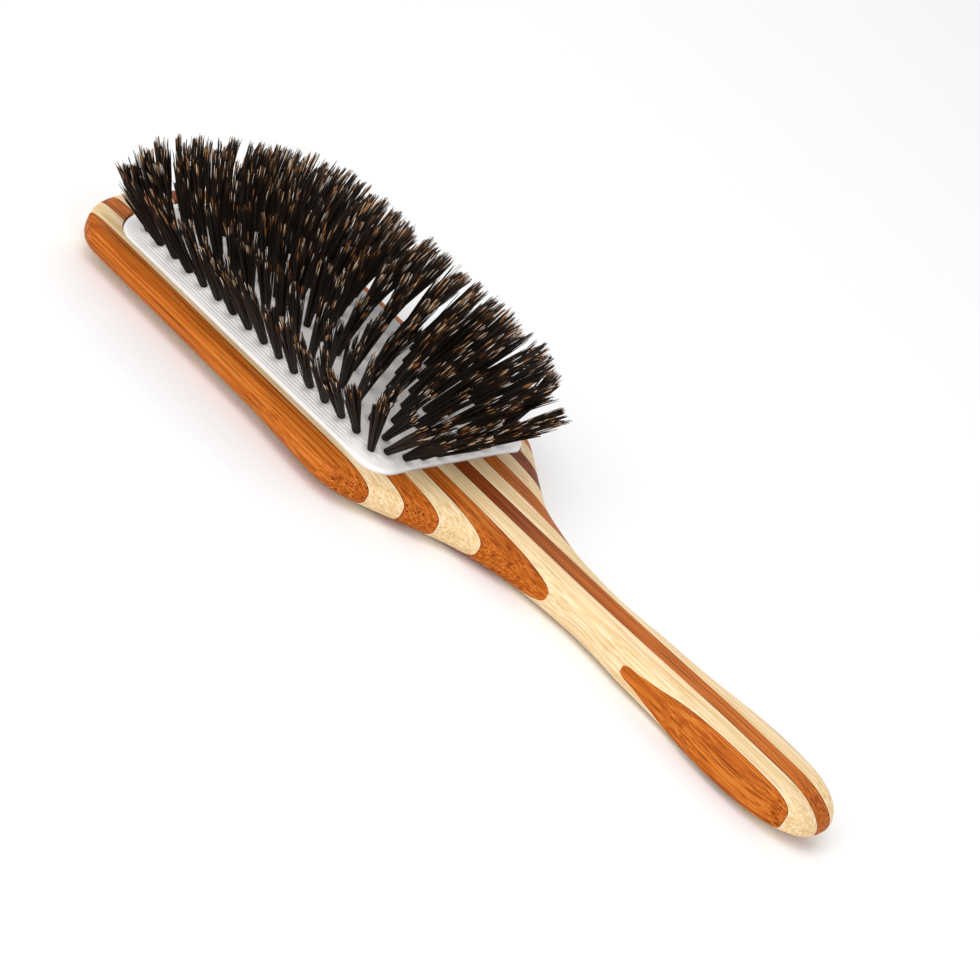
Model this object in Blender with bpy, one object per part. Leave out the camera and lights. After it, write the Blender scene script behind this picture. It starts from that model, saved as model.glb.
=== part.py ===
"""Cushion paddle brush: a handle and head glued up from thirteen bamboo strips,
a domed rubber pad held in a routed pocket, and rows of natural bristle tufts.

Metres, +Z up. The brush lies on its back: +X runs from the tip of the head to the
end of the handle, +Z points the way the bristles point. The origin is under the
middle of the brush, in the plane of its flat back.
"""
import math

import bmesh
import bpy
from mathutils import Vector

MM = 0.001

# ---------------------------------------------------------------- driving sizes
LENGTH = 241.2 * MM          # tip of the head to the end of the handle
MIDDLE = LENGTH / 2          # the frame's origin, measured from the tip
STRIPS = 13                  # bamboo strips side by side across the width
STRIP_WIDTH = 6.0 * MM
GLUE_LINE = 0.10 * MM        # gap left between neighbouring strips
STAINED = (6, 10)            # the two darkest strips, counted from 0
BEYOND = 60 * MM             # wider than half the board
ABOVE = 20 * MM              # higher than the board
WELD = 2e-6                  # points closer than this are one
RING_POINTS = 24             # points round one section of the board
END_STATIONS = 8             # sections in each rounded end
BODY_STATIONS = (40, 62, 80, 90, 98, 104, 108, 112, 116, 120, 126, 132,
                 138, 144, 151, 159, 168, 178, 187, 196, 204)    # millimetres from the tip

# The board's shape at distances from the tip, in millimetres, before its ends are
# rounded: half width, height of the top, of the back and of the widest line, and how
# square a section is (2 is an ellipse, higher is squarer).
OUTLINE = [(0.0, 38.1), (60.0, 38.1), (80.0, 38.3), (92.0, 39.2), (104.0, 39.8),
           (110.0, 38.4), (115.0, 34.9), (126.0, 25.1), (135.0, 17.6), (144.0, 13.3),
           (152.0, 10.3), (160.0, 8.8), (168.0, 8.0), (176.0, 8.4), (183.0, 9.0),
           (190.0, 9.1), (197.0, 9.4), (206.0, 10.5), (216.0, 11.4), (228.0, 11.7),
           (241.2, 12.0)]
TOP_LINE = [(0.0, 11.1), (100.0, 11.1), (125.0, 10.8), (150.0, 10.65), (170.0, 10.7),
            (190.0, 11.0), (210.0, 11.4), (241.2, 11.3)]
BACK_LINE = [(0.0, -0.25), (120.0, -0.2), (145.0, 0.1), (160.0, 0.25), (175.0, 0.45),
             (190.0, 0.3), (205.0, 0.3), (222.0, 0.85), (241.2, 2.5)]
WIDEST_LINE = [(0.0, 8.6), (60.0, 7.6), (100.0, 6.5), (118.0, 5.8), (160.0, 5.7),
               (241.2, 5.15)]
SQUARENESS = [(0.0, 3.25), (120.0, 3.0), (150.0, 3.0), (175.0, 3.3), (195.0, 4.0),
              (212.0, 4.7), (241.2, 5.0)]
TIP_PLAN = 18.2 * MM         # length of the rounded tip, seen from above
TIP_FULLNESS = 2.2           # 2 rounds the corners as an ellipse, higher is blunter
TIP_PROFILE = 7.0 * MM       # length of the rounding, seen from the side
END_PLAN = 29.5 * MM         # length of the rounded handle end, from above
END_FULLNESS = 2.8
END_PROFILE = 13.2 * MM

POCKET_TIP = 7.5 * MM        # opening of the pocket, from the tip
POCKET_NECK = 116.0 * MM
POCKET_HALF = 31.6 * MM
POCKET_TIP_ARC = 14.0 * MM
POCKET_CORNER = 8.0 * MM
TIP_ARC_STEPS = 12
CORNER_STEPS = 5
POCKET_FLOOR = 4.6 * MM
GROOVE_LOW = 6.6 * MM        # undercut that takes the bead of the pad
GROOVE_HIGH = 8.5 * MM
GROOVE_DEEP = 0.9 * MM

FIT = 0.3 * MM               # clearance between the pad and the wood
RIM = 10.8 * MM              # height of the pad at its edge
CROWN = 7.5 * MM             # rise of the dome above its edge
DOME_POWER = 2.6
PAD_THICK = 1.5 * MM
SKIRT = 1.5 * MM             # thickness of the pad's turned-down edge
BEAD_LOW = 6.9 * MM
BEAD_HIGH = 8.2 * MM

TUFT_LENGTH = 22.4 * MM      # bristle above the pad
SHORTER_TIP = 0.14           # share by which the tufts nearest the two ends are shorter
SHORTER_NECK = 0.18
TRIM_FROM, TRIM_TO = 0.62, 0.95  # where that trim starts and is whole, in half spans
TUFT_PITCH = 5.8 * MM
ROOT_RADIUS = 1.0 * MM
TIP_RADIUS = 1.9 * MM
HOLE_RADIUS = 1.45 * MM
HOLE_REACH = 3.0 * MM        # how far a hole's cutter goes past the pad's top, each way
TUFT_SIDES = 6
ROOT_DEPTH = 2.3 * MM        # centre of the drawn wire below the pad's top
WIRE_WIDE = 1.8 * MM
WIRE_HIGH = 0.9 * MM
WIRE_PAST = 1.2 * MM         # wire beyond the last tuft
LEAN_TIP = 26.0              # outward lean of the outermost tufts, degrees
LEAN_NECK = 36.0
LEAN_SIDE = 43.0
LEAN_GROWTH_LONG = 1.2       # powers by which the lean grows outwards
LEAN_GROWTH_WIDE = 1.1
HALF_SPAN = 52.0 * MM        # from the pad's middle to its end rows of tufts
SIDE_FROM, SIDE_LOSS = 0.84, 0.80    # rows out from here lose this much lean to the neck
NECK_FROM, NECK_TO = 0.75, 1.00      # between these the neck's tufts lose sideways lean
NECK_LOSS = 0.60
EDGE_ROW = 26.8 * MM         # the two long outer rows
EDGE_TUFTS = 16
EDGE_START = 21.3 * MM       # their first tuft, from the tip; it stands further in
EDGE_START_OUT = 25.4 * MM
# The middle tuft and one half of the two short rows, in millimetres from the tip and
# from the middle of the width.
TIP_ROW = [(13.0, 0.0), (13.2, 6.0), (13.8, 12.0), (15.2, 17.5), (17.3, 22.3)]
NECK_ROW = [(112.9, 0.0), (112.9, 6.0), (112.9, 12.0), (112.7, 18.0), (110.6, 23.0)]
INNER_ROWS = 7
INNER_PITCH = 6.9 * MM
INNER_SHIFT = TUFT_PITCH * 2 / 3   # each inner row is set back by two thirds
INNER_MIDDLE = 66.0 * MM     # a tuft of the middle row, from the tip
INNER_REACH = 20             # more pitches than any inner row needs, each way
# Between these distances from the tip, in millimetres, the inner rows have tufts: the
# middle row first, then the rows on each side of it.
INNER_FIRST = (18.4, 17.6, 19.6, 22.0)
INNER_LAST = (109.0, 109.0, 108.8, 106.6)

CAMEL = (0.50, 0.215, 0.07)
UMBER = (0.26, 0.10, 0.04)
STRAW = (0.84, 0.70, 0.45)
PAD_WHITE = (0.86, 0.83, 0.82)
BRISTLE = (0.035, 0.026, 0.02)
WOOD_ROUGH = 0.38
PAD_ROUGH = 0.60
BRISTLE_ROUGH = 0.55
SMOOTH_BELOW = 40            # degrees: a sharper fold than this stays a hard edge


def clear_scene():
    for ob in list(bpy.data.objects):
        bpy.data.objects.remove(ob, do_unlink=True)


def make_object(name, bm, colour, rough, smooth_below=None):
    """Store a bmesh as a named object with its own material."""
    bmesh.ops.recalc_face_normals(bm, faces=bm.faces)
    mesh = bpy.data.meshes.new(name)
    bm.to_mesh(mesh)
    bm.free()
    if smooth_below is not None:
        mesh.shade_smooth()
        mesh.set_sharp_from_angle(angle=math.radians(smooth_below))
    ob = bpy.data.objects.new(name, mesh)
    bpy.context.collection.objects.link(ob)
    mat = bpy.data.materials.new(name)
    mat.use_nodes = True
    shader = mat.node_tree.nodes["Principled BSDF"]
    shader.inputs["Base Color"].default_value = (*colour, 1.0)
    shader.inputs["Roughness"].default_value = rough
    shader.inputs["Metallic"].default_value = 0.0
    mesh.materials.append(mat)
    return ob


def make_cutter(name, bm):
    bmesh.ops.recalc_face_normals(bm, faces=bm.faces)
    mesh = bpy.data.meshes.new(name)
    bm.to_mesh(mesh)
    bm.free()
    ob = bpy.data.objects.new(name, mesh)
    bpy.context.collection.objects.link(ob)
    ob.hide_render = True
    ob.display_type = 'WIRE'
    return ob


def boolean(ob, operation, other):
    mod = ob.modifiers.new(operation.lower(), 'BOOLEAN')
    mod.operation = operation
    mod.solver = 'EXACT'
    mod.object = other
    return mod


# ---------------------------------------------------------------- the board
def through(points, x):
    """A smooth curve through (distance, value) points in millimetres."""
    x_mm = x / MM
    i = 0
    while i < len(points) - 2 and x_mm > points[i + 1][0]:
        i += 1

    def slope(j):
        a, b = points[max(j - 1, 0)], points[min(j + 1, len(points) - 1)]
        return (b[1] - a[1]) / (b[0] - a[0])

    (x0, v0), (x1, v1) = points[i], points[i + 1]
    h = x1 - x0
    t = min(max((x_mm - x0) / h, 0.0), 1.0)
    m0, m1 = slope(i) * h, slope(i + 1) * h
    return ((2 * t**3 - 3 * t**2 + 1) * v0 + (t**3 - 2 * t**2 + t) * m0
            + (3 * t**2 - 2 * t**3) * v1 + (t**3 - t**2) * m1)


def rounding(distance, length, fullness=2.0):
    """Share of the full size left at a distance from a rounded end."""
    u = min(max(1.0 - distance / length, 0.0), 1.0)
    return max(1.0 - u**fullness, 0.0) ** (1 / fullness)


def section(x):
    """One closed cross-section of the board; the flat cuts its back off at zero."""
    half = (through(OUTLINE, x) * MM * rounding(x, TIP_PLAN, TIP_FULLNESS)
            * rounding(LENGTH - x, END_PLAN, END_FULLNESS))
    rise = rounding(x, TIP_PROFILE) * rounding(LENGTH - x, END_PROFILE)
    mid = through(WIDEST_LINE, x) * MM
    up = (through(TOP_LINE, x) * MM - mid) * rise
    down = (mid - through(BACK_LINE, x) * MM) * rise
    power = 2 / through(SQUARENESS, x)
    ring = []
    for k in range(RING_POINTS):
        a = 2 * math.pi * k / RING_POINTS
        c, s = math.cos(a), math.sin(a)
        y = half * math.copysign(abs(c) ** power, c)
        z = (up if s > 0 else down) * math.copysign(abs(s) ** power, s)
        ring.append((x - MIDDLE, y, max(mid + z, 0.0)))
    return ring


def stations():
    """Distances from the tip at which the board has a cross-section."""
    quarter = math.pi / 2
    bend = [1 - math.cos(quarter * k / END_STATIONS) for k in range(1, END_STATIONS + 1)]
    return ([TIP_PLAN * b for b in bend] + [v * MM for v in BODY_STATIONS]
            + [LENGTH - END_PLAN * b for b in reversed(bend)])


def board_mesh():
    """The whole board as one skin, before it is parted into strips."""
    bm = bmesh.new()
    rings = []
    for x in stations():
        rings.append([bm.verts.new(p) for p in section(x)])
    for a, b in zip(rings, rings[1:]):
        for k in range(RING_POINTS):
            n = (k + 1) % RING_POINTS
            bm.faces.new((a[k], a[n], b[n], b[k]))
    for ring, x in ((rings[0], 0.0), (rings[-1], LENGTH)):
        pole = bm.verts.new((x - MIDDLE, 0.0, through(WIDEST_LINE, x) * MM))
        for k in range(RING_POINTS):
            bm.faces.new((ring[k], ring[(k + 1) % RING_POINTS], pole))
    bmesh.ops.recalc_face_normals(bm, faces=bm.faces)
    return bm


def slice_board(low, high):
    """The part of the board between two upright planes along its length."""
    bm = board_mesh()
    for y, normal in ((low, (0, -1, 0)), (high, (0, 1, 0))):
        geom = bm.verts[:] + bm.edges[:] + bm.faces[:]
        bmesh.ops.bisect_plane(bm, geom=geom, plane_co=(0, y, 0), plane_no=normal,
                               clear_outer=True, dist=1e-7)
        rim = [e for e in bm.edges if len(e.link_faces) == 1]
        if rim:
            bmesh.ops.holes_fill(bm, edges=rim, sides=0)
    bmesh.ops.remove_doubles(bm, verts=bm.verts, dist=WELD)
    return bm


def keep_island(bm, want_grip):
    """Keep the head-side or the grip-side piece of a strip that the waist may cut in
    two, and say how many pieces there were."""
    seen, islands = set(), []
    for v in bm.verts:
        if v in seen:
            continue
        stack, island = [v], []
        seen.add(v)
        while stack:
            u = stack.pop()
            island.append(u)
            for e in u.link_edges:
                w = e.other_vert(u)
                if w not in seen:
                    seen.add(w)
                    stack.append(w)
        islands.append(island)
    islands.sort(key=lambda isl: sum(v.co.x for v in isl) / len(isl))
    keep = set(islands[-1] if want_grip else islands[0])
    bmesh.ops.delete(bm, geom=[v for v in bm.verts if v not in keep], context='VERTS')
    return len(islands)


# ---------------------------------------------------------------- the pocket
def opening():
    """Outline of the pocket's mouth, clockwise from the far side of the tip."""
    pts = []
    for k in range(TIP_ARC_STEPS + 1):
        a = math.pi / 2 + math.pi * k / TIP_ARC_STEPS
        pts.append((POCKET_TIP + POCKET_TIP_ARC + POCKET_TIP_ARC * math.cos(a),
                    POCKET_HALF * math.sin(a)))
    side = [v * MM for v in (36, 52, 68, 84, 98)]
    corner = POCKET_NECK - POCKET_CORNER
    inner = POCKET_HALF - POCKET_CORNER
    pts += [(x, -POCKET_HALF) for x in side]
    for k in range(CORNER_STEPS + 1):
        a = -math.pi / 2 + math.pi / 2 * k / CORNER_STEPS
        pts.append((corner + POCKET_CORNER * math.cos(a),
                    -inner + POCKET_CORNER * math.sin(a)))
    pts += [(POCKET_NECK, y * MM) for y in (-12, 0, 12)]
    for k in range(CORNER_STEPS + 1):
        a = math.pi / 2 * k / CORNER_STEPS
        pts.append((corner + POCKET_CORNER * math.cos(a),
                    inner + POCKET_CORNER * math.sin(a)))
    pts += [(x, POCKET_HALF) for x in reversed(side)]
    return pts


def offset(loop, distance):
    """Move a closed outline outwards by a distance."""
    out = []
    n = len(loop)
    for k in range(n):
        a, b, c = Vector(loop[k - 1]), Vector(loop[k]), Vector(loop[(k + 1) % n])
        e, f = (b - a).normalized(), (c - b).normalized()
        m = (Vector((e.y, -e.x)) + Vector((f.y, -f.x))).normalized()
        cosine = max(m.dot(Vector((e.y, -e.x))), 0.5)
        out.append(tuple(b + m * (distance / cosine)))
    return out


def stack_loops(bm, layers, cap_first=True, cap_last=True):
    """Join closed loops of equal length, each (outline, height), into a skin."""
    rings = []
    for loop, z in layers:
        heights = z if isinstance(z, list) else [z] * len(loop)
        rings.append([bm.verts.new((x - MIDDLE, y, h))
                      for (x, y), h in zip(loop, heights)])
    n = len(rings[0])
    for a, b in zip(rings, rings[1:]):
        for k in range(n):
            bm.faces.new((a[k], a[(k + 1) % n], b[(k + 1) % n], b[k]))
    if cap_first:
        bm.faces.new(rings[0])
    if cap_last:
        bm.faces.new(rings[-1])
    return rings


def pocket_cutter():
    bm = bmesh.new()
    mouth = opening()
    wide = offset(mouth, GROOVE_DEEP)
    stack_loops(bm, [(mouth, POCKET_FLOOR), (mouth, GROOVE_LOW), (wide, GROOVE_LOW),
                     (wide, GROOVE_HIGH), (mouth, GROOVE_HIGH), (mouth, ABOVE)])
    return make_cutter("cut_pocket", bm)


# ---------------------------------------------------------------- the pad
PAD_EDGE = offset(opening(), -FIT)
PAD_MID = ((POCKET_TIP + POCKET_NECK) / 2, 0.0)


def shrink(loop, share):
    cx, cy = PAD_MID
    return [(cx + (x - cx) * share, cy + (y - cy) * share) for x, y in loop]


def dome_at(share):
    return RIM + CROWN * max(0.0, 1.0 - share ** DOME_POWER)


def share_at(x, y):
    """How far out a point lies: 0 at the pad's middle, 1 at its edge."""
    dx, dy = x - PAD_MID[0], y - PAD_MID[1]
    best = 0.0
    for k in range(len(PAD_EDGE)):
        ax, ay = PAD_EDGE[k][0] - PAD_MID[0], PAD_EDGE[k][1]
        bx, by = PAD_EDGE[k - 1][0] - PAD_MID[0], PAD_EDGE[k - 1][1]
        den = ax * by - bx * ay
        if abs(den) < 1e-12:
            continue
        p, q = (dx * by - bx * dy) / den, (ax * dy - dx * ay) / den
        if p >= -1e-9 and q >= -1e-9:
            best = max(best, p + q)
    return best


def pad_mesh():
    bm = bmesh.new()
    mouth = opening()
    shares = (0.25, 0.5, 0.7, 0.84, 0.93)
    layers = [(shrink(PAD_EDGE, s), dome_at(s)) for s in shares]
    layers += [(PAD_EDGE, RIM), (PAD_EDGE, BEAD_HIGH),
               (offset(mouth, GROOVE_DEEP - FIT), BEAD_HIGH),
               (offset(mouth, GROOVE_DEEP - FIT), BEAD_LOW),
               (offset(mouth, -FIT - SKIRT), BEAD_LOW),
               (offset(mouth, -FIT - SKIRT), RIM - PAD_THICK)]
    layers += [(shrink(PAD_EDGE, s), dome_at(s) - PAD_THICK) for s in reversed(shares)]
    rings = stack_loops(bm, layers, cap_first=False, cap_last=False)
    for ring, z in ((rings[0], dome_at(0)), (rings[-1], dome_at(0) - PAD_THICK)):
        pole = bm.verts.new((PAD_MID[0] - MIDDLE, 0.0, z))
        for k in range(len(ring)):
            bm.faces.new((ring[k], ring[(k + 1) % len(ring)], pole))
    return bm


# ---------------------------------------------------------------- the tufts
def full_row(half_row):
    """A row across the brush, in metres, from its middle tuft and one half of it."""
    near = [(x * MM, -y * MM) for x, y in reversed(half_row[1:])]
    return near + [(x * MM, y * MM) for x, y in half_row]


def tuft_rows():
    """Names and hole positions, from the tip, of every row of tufts."""
    edge = [(EDGE_START + TUFT_PITCH * k, EDGE_ROW if k else EDGE_START_OUT)
            for k in range(EDGE_TUFTS)]
    rows = [("tufts_near_edge", [(x, -y) for x, y in edge]),
            ("tufts_far_edge", edge), ("tufts_tip_edge", full_row(TIP_ROW)),
            ("tufts_neck_edge", full_row(NECK_ROW))]
    for k in range(INNER_ROWS):
        r = k - INNER_ROWS // 2
        low, high = INNER_FIRST[abs(r)] * MM, INNER_LAST[abs(r)] * MM
        xs = [INNER_MIDDLE - INNER_SHIFT * r + TUFT_PITCH * j
              for j in range(-INNER_REACH, INNER_REACH + 1)]
        rows.append((f"tufts_inner_{k + 1}",
                     [(x, INNER_PITCH * r) for x in xs if low <= x <= high]))
    return rows


def ease(low, high, value):
    """0 below low, 1 above high, and a smooth rise between them."""
    share = min(max((value - low) / (high - low), 0.0), 1.0)
    return share * share * (3 - 2 * share)


def tuft_axis(x, y):
    """Foot of a tuft on the pad and the way it leans: outwards, but less in the corners
    at the neck, where the tufts stand up straighter."""
    foot = Vector((x - MIDDLE, y, dome_at(share_at(x, y))))
    u = (x - PAD_MID[0]) / HALF_SPAN
    v = y / EDGE_ROW
    lean_x = math.radians(LEAN_NECK if u > 0 else LEAN_TIP) * math.copysign(
        abs(u) ** LEAN_GROWTH_LONG, u)
    lean_y = math.radians(LEAN_SIDE) * math.copysign(
        abs(v) ** LEAN_GROWTH_WIDE, v)
    if u > 0:
        lean_x *= 1 - SIDE_LOSS * ease(SIDE_FROM, 1.0, abs(v))
        lean_y *= 1 - NECK_LOSS * ease(NECK_FROM, NECK_TO, u)
    return foot, Vector((math.tan(lean_x), math.tan(lean_y), 1.0)).normalized()


def tuft_length(x):
    """Length of a tuft: the ones near the tip and near the neck are trimmed shorter."""
    u = (x - PAD_MID[0]) / HALF_SPAN
    trim = ease(TRIM_FROM, TRIM_TO, abs(u))
    return TUFT_LENGTH * (1 - trim * (SHORTER_NECK if u > 0 else SHORTER_TIP))


def cone(bm, start, stop, r_start, r_stop, sides):
    axis = (stop - start).normalized()
    side = axis.cross(Vector((1, 0, 0))).normalized()
    other = axis.cross(side)
    rings = []
    for centre, r in ((start, r_start), (stop, r_stop)):
        rings.append([bm.verts.new(centre + r * (math.cos(a) * side + math.sin(a) * other))
                      for a in (2 * math.pi * k / sides for k in range(sides))])
    for k in range(sides):
        n = (k + 1) % sides
        bm.faces.new((rings[0][k], rings[0][n], rings[1][n], rings[1][k]))
    bm.faces.new(rings[0])
    bm.faces.new(rings[1])


def tufts_mesh(row):
    bm = bmesh.new()
    for x, y in row:
        foot, way = tuft_axis(x, y)
        cone(bm, foot - way * (ROOT_DEPTH / way.z), foot + way * tuft_length(x),
             ROOT_RADIUS, TIP_RADIUS, TUFT_SIDES)
    return bm


def holes_mesh(row_list):
    bm = bmesh.new()
    for _, row in row_list:
        for x, y in row:
            foot, way = tuft_axis(x, y)
            cone(bm, foot - way * HOLE_REACH, foot + way * HOLE_REACH,
                 HOLE_RADIUS, HOLE_RADIUS, TUFT_SIDES)
    return bm


def wire_mesh(row):
    """Drawn wire under one row: a flat strip through the roots of its tufts."""
    path = []
    for x, y in row:
        foot, way = tuft_axis(x, y)
        path.append(foot - way * (ROOT_DEPTH / way.z))
    path.insert(0, path[0] + (path[0] - path[1]).normalized() * WIRE_PAST)
    path.append(path[-1] + (path[-1] - path[-2]).normalized() * WIRE_PAST)
    bm = bmesh.new()
    rings = []
    for k, p in enumerate(path):
        way = (path[min(k + 1, len(path) - 1)] - path[max(k - 1, 0)]).normalized()
        side = way.cross(Vector((0, 0, 1))).normalized() * WIRE_WIDE / 2
        up = side.cross(way).normalized() * WIRE_HIGH / 2
        rings.append([bm.verts.new(p + a * side + b * up)
                      for a, b in ((-1, -1), (1, -1), (1, 1), (-1, 1))])
    for a, b in zip(rings, rings[1:]):
        for k in range(4):
            bm.faces.new((a[k], a[(k + 1) % 4], b[(k + 1) % 4], b[k]))
    bm.faces.new(rings[0])
    bm.faces.new(rings[-1])
    return bm


# ---------------------------------------------------------------- build
clear_scene()

pocket = pocket_cutter()
for k in range(STRIPS):
    low = (k - STRIPS / 2) * STRIP_WIDTH + GLUE_LINE / 2
    high = (k + 1 - STRIPS / 2) * STRIP_WIDTH - GLUE_LINE / 2
    if k == 0:
        low = -BEYOND
    if k == STRIPS - 1:
        high = BEYOND
    dark = k % 2 == 0
    colour = (UMBER if k in STAINED else CAMEL) if dark else STRAW
    name = f"bamboo_strip_{k + 1:02d}"
    bm = slice_board(low, high)
    pieces = keep_island(bm, want_grip=False)
    strip = make_object(name, bm, colour, WOOD_ROUGH, SMOOTH_BELOW)
    if 0 < k < STRIPS - 1:
        boolean(strip, 'DIFFERENCE', pocket)
    if pieces > 1:
        bm = slice_board(low, high)
        keep_island(bm, want_grip=True)
        make_object(name + "_grip", bm, colour, WOOD_ROUGH, SMOOTH_BELOW)

rows = tuft_rows()
pad = make_object("cushion_pad", pad_mesh(), PAD_WHITE, PAD_ROUGH, SMOOTH_BELOW)
boolean(pad, 'DIFFERENCE', make_cutter("cut_tuft_holes", holes_mesh(rows)))

# The inner rows sink with the crown of the pad, straight down through its middle.
travel = bpy.data.objects.new("crown_travel", None)
travel.location = (PAD_MID[0] - MIDDLE, 0.0, RIM)
bpy.context.collection.objects.link(travel)
bpy.context.view_layer.update()

for name, row in rows:
    tufts = make_object(name, wire_mesh(row), BRISTLE, BRISTLE_ROUGH)
    boolean(tufts, 'UNION', make_cutter("join_" + name, tufts_mesh(row)))
    if name.startswith("tufts_inner"):
        tufts.parent = travel
        tufts.matrix_parent_inverse = travel.matrix_world.inverted()
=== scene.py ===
"""Looks of the cushion paddle brush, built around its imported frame.

Metres, in the frame's own axes: +X runs from the tip of the head to the end of the
handle, +Z points the way the bristles point, and the flat back lies on z = 0.
Every wooden strip, the rubber pad and every row of bristle is a piece of its own.
"""

import math

import bmesh
import bpy
import numpy as np
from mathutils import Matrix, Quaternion, Vector


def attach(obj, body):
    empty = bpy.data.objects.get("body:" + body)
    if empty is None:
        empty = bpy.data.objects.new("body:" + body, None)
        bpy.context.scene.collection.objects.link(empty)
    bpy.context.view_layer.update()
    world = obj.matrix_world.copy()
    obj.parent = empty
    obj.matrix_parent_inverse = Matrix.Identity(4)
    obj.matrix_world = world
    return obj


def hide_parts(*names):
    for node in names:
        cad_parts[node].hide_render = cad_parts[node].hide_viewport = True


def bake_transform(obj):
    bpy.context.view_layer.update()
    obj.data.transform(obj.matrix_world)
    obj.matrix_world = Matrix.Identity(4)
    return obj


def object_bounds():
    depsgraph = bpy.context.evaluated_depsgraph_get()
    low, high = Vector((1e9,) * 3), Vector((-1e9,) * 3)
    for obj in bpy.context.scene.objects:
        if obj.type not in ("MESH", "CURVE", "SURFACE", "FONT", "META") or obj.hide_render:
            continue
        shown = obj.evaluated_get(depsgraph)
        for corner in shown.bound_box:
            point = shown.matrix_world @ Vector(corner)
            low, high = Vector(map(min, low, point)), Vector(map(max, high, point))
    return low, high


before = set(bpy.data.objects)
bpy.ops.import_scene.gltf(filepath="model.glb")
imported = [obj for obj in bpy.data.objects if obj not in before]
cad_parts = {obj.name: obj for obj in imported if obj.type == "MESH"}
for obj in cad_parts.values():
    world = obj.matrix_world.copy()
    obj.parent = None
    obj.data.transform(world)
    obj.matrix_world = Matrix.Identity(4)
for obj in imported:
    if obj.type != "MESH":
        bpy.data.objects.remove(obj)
cad_low, cad_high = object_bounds()

MM = 0.001

# ---------------------------------------------------------------- driving sizes
LENGTH = cad_high.x - cad_low.x
MIDDLE = -cad_low.x          # the frame's origin, measured from the tip of the head
THICK = 11.1 * MM            # thickness of the head
STRIPS = 13
STRIP_WIDTH = 6.0 * MM
GLUE_LINE = 0.05 * MM
STAINED = (6, 10)            # the two darkest strips, counted from 0
BEYOND = 60 * MM             # wider than half the board
ABOVE = 20 * MM              # higher than the board
WELD = 2e-6                  # points closer than this are one
HARD_EDGE = 38               # degrees: a fold of the wood sharper than this is an edge
RING_POINTS = 128            # points round one section of the board
BODY_STATIONS = 110          # sections between the two rounded ends
END_STATIONS = 22            # sections in each rounded end

# The board's shape at distances from the tip, in millimetres, before its ends are
# rounded: half width, height of the top, of the back and of the widest line, and how
# square a section is (2 is an ellipse, higher is squarer).
OUTLINE = [(0.0, 38.1), (60.0, 38.1), (80.0, 38.3), (92.0, 39.2), (104.0, 39.8),
           (110.0, 38.4), (115.0, 34.9), (126.0, 25.1), (135.0, 17.6), (144.0, 13.3),
           (152.0, 10.3), (160.0, 8.8), (168.0, 8.0), (176.0, 8.4), (183.0, 9.0),
           (190.0, 9.1), (197.0, 9.4), (206.0, 10.5), (216.0, 11.4), (228.0, 11.7),
           (241.2, 12.0)]
TOP_LINE = [(0.0, 11.1), (100.0, 11.1), (125.0, 10.8), (150.0, 10.65), (170.0, 10.7),
            (190.0, 11.0), (210.0, 11.4), (241.2, 11.3)]
BACK_LINE = [(0.0, -0.25), (120.0, -0.2), (145.0, 0.1), (160.0, 0.25), (175.0, 0.45),
             (190.0, 0.3), (205.0, 0.3), (222.0, 0.85), (241.2, 2.5)]
WIDEST_LINE = [(0.0, 8.6), (60.0, 7.6), (100.0, 6.5), (118.0, 5.8), (160.0, 5.7),
               (241.2, 5.15)]
SQUARENESS = [(0.0, 3.25), (120.0, 3.0), (150.0, 3.0), (175.0, 3.3), (195.0, 4.0),
              (212.0, 4.7), (241.2, 5.0)]
TIP_PLAN = 18.2 * MM         # length of the rounded tip from above, then from the side
TIP_PROFILE = 7.0 * MM
TIP_FULLNESS = 2.2           # 2 rounds the corners as an ellipse, higher is blunter
END_PLAN = 29.5 * MM         # the same at the end of the handle
END_FULLNESS = 2.8
END_PROFILE = 13.2 * MM

POCKET_TIP = 7.5 * MM        # opening of the pocket, from the tip
POCKET_NECK = 116.0 * MM
POCKET_HALF = 31.6 * MM
POCKET_TIP_ARC = 14.0 * MM
POCKET_CORNER = 8.0 * MM
TIP_ARC_STEPS = 48
CORNER_STEPS = 16
POCKET_FLOOR = 4.6 * MM
GROOVE_LOW = 6.6 * MM
GROOVE_HIGH = 8.5 * MM
GROOVE_DEEP = 0.9 * MM

FIT = 0.3 * MM               # clearance between the pad and the wood
RIM = 10.8 * MM              # height of the pad at its edge
CROWN = 7.5 * MM             # rise of the dome above its edge
DOME_POWER = 2.6
PAD_THICK = 1.5 * MM
EDGE_ROLL = 0.8 * MM         # radius of the pad's rolled edge
RIB_PITCH = 0.69 * MM
RIB_HIGH = 0.045 * MM
RIBS_FROM = 16.0 * MM        # the ribbed stretch of the pad, from the tip
RIBS_TO = 108.0 * MM
PUCKER_DEEP = 0.34 * MM      # dimple that a tuft pulls in the pad
PUCKER_LIP = 0.10 * MM       # the swell round it
PUCKER_FOLD = 0.075 * MM     # the small folds in that swell
FOLDS = 9
PUCKER_REACH = 6.0 * MM
BEAD_LOW = 6.9 * MM
BEAD_HIGH = 8.2 * MM

TUFT_LENGTH = 23.3 * MM      # longest hairs, above the pad
SHORTER_TIP = 0.14           # share by which the tufts nearest the two ends are shorter
SHORTER_NECK = 0.18
TRIM_FROM, TRIM_TO = 0.62, 0.95  # where that trim starts and is whole, in half spans
TUFT_PITCH = 5.8 * MM
ROOT_DEPTH = 2.3 * MM        # centre of the drawn wire below the pad's top
ROOT_RADIUS = 0.90 * MM      # radius of a tuft where it leaves the pad
TIP_RADIUS = 2.40 * MM
HAIRS = 88                   # hairs in one tuft
LOCKS = 11                   # pointed locks they part into
LOCK_PULL = 0.65             # how far a hair's tip goes to the tip of its lock
BROKEN_HAIRS = 0.10          # share of the hairs that are clearly shorter
HAIR_RADIUS = 0.150 * MM
TUFT_TILT = 0.034            # scatter of the tufts' ways, as the tangent of an angle
FOOT_SCATTER = 0.12 * MM
TIP_SCATTER = 0.20 * MM
SWAY = 0.12 * MM             # bow of a hair between its ends
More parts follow.
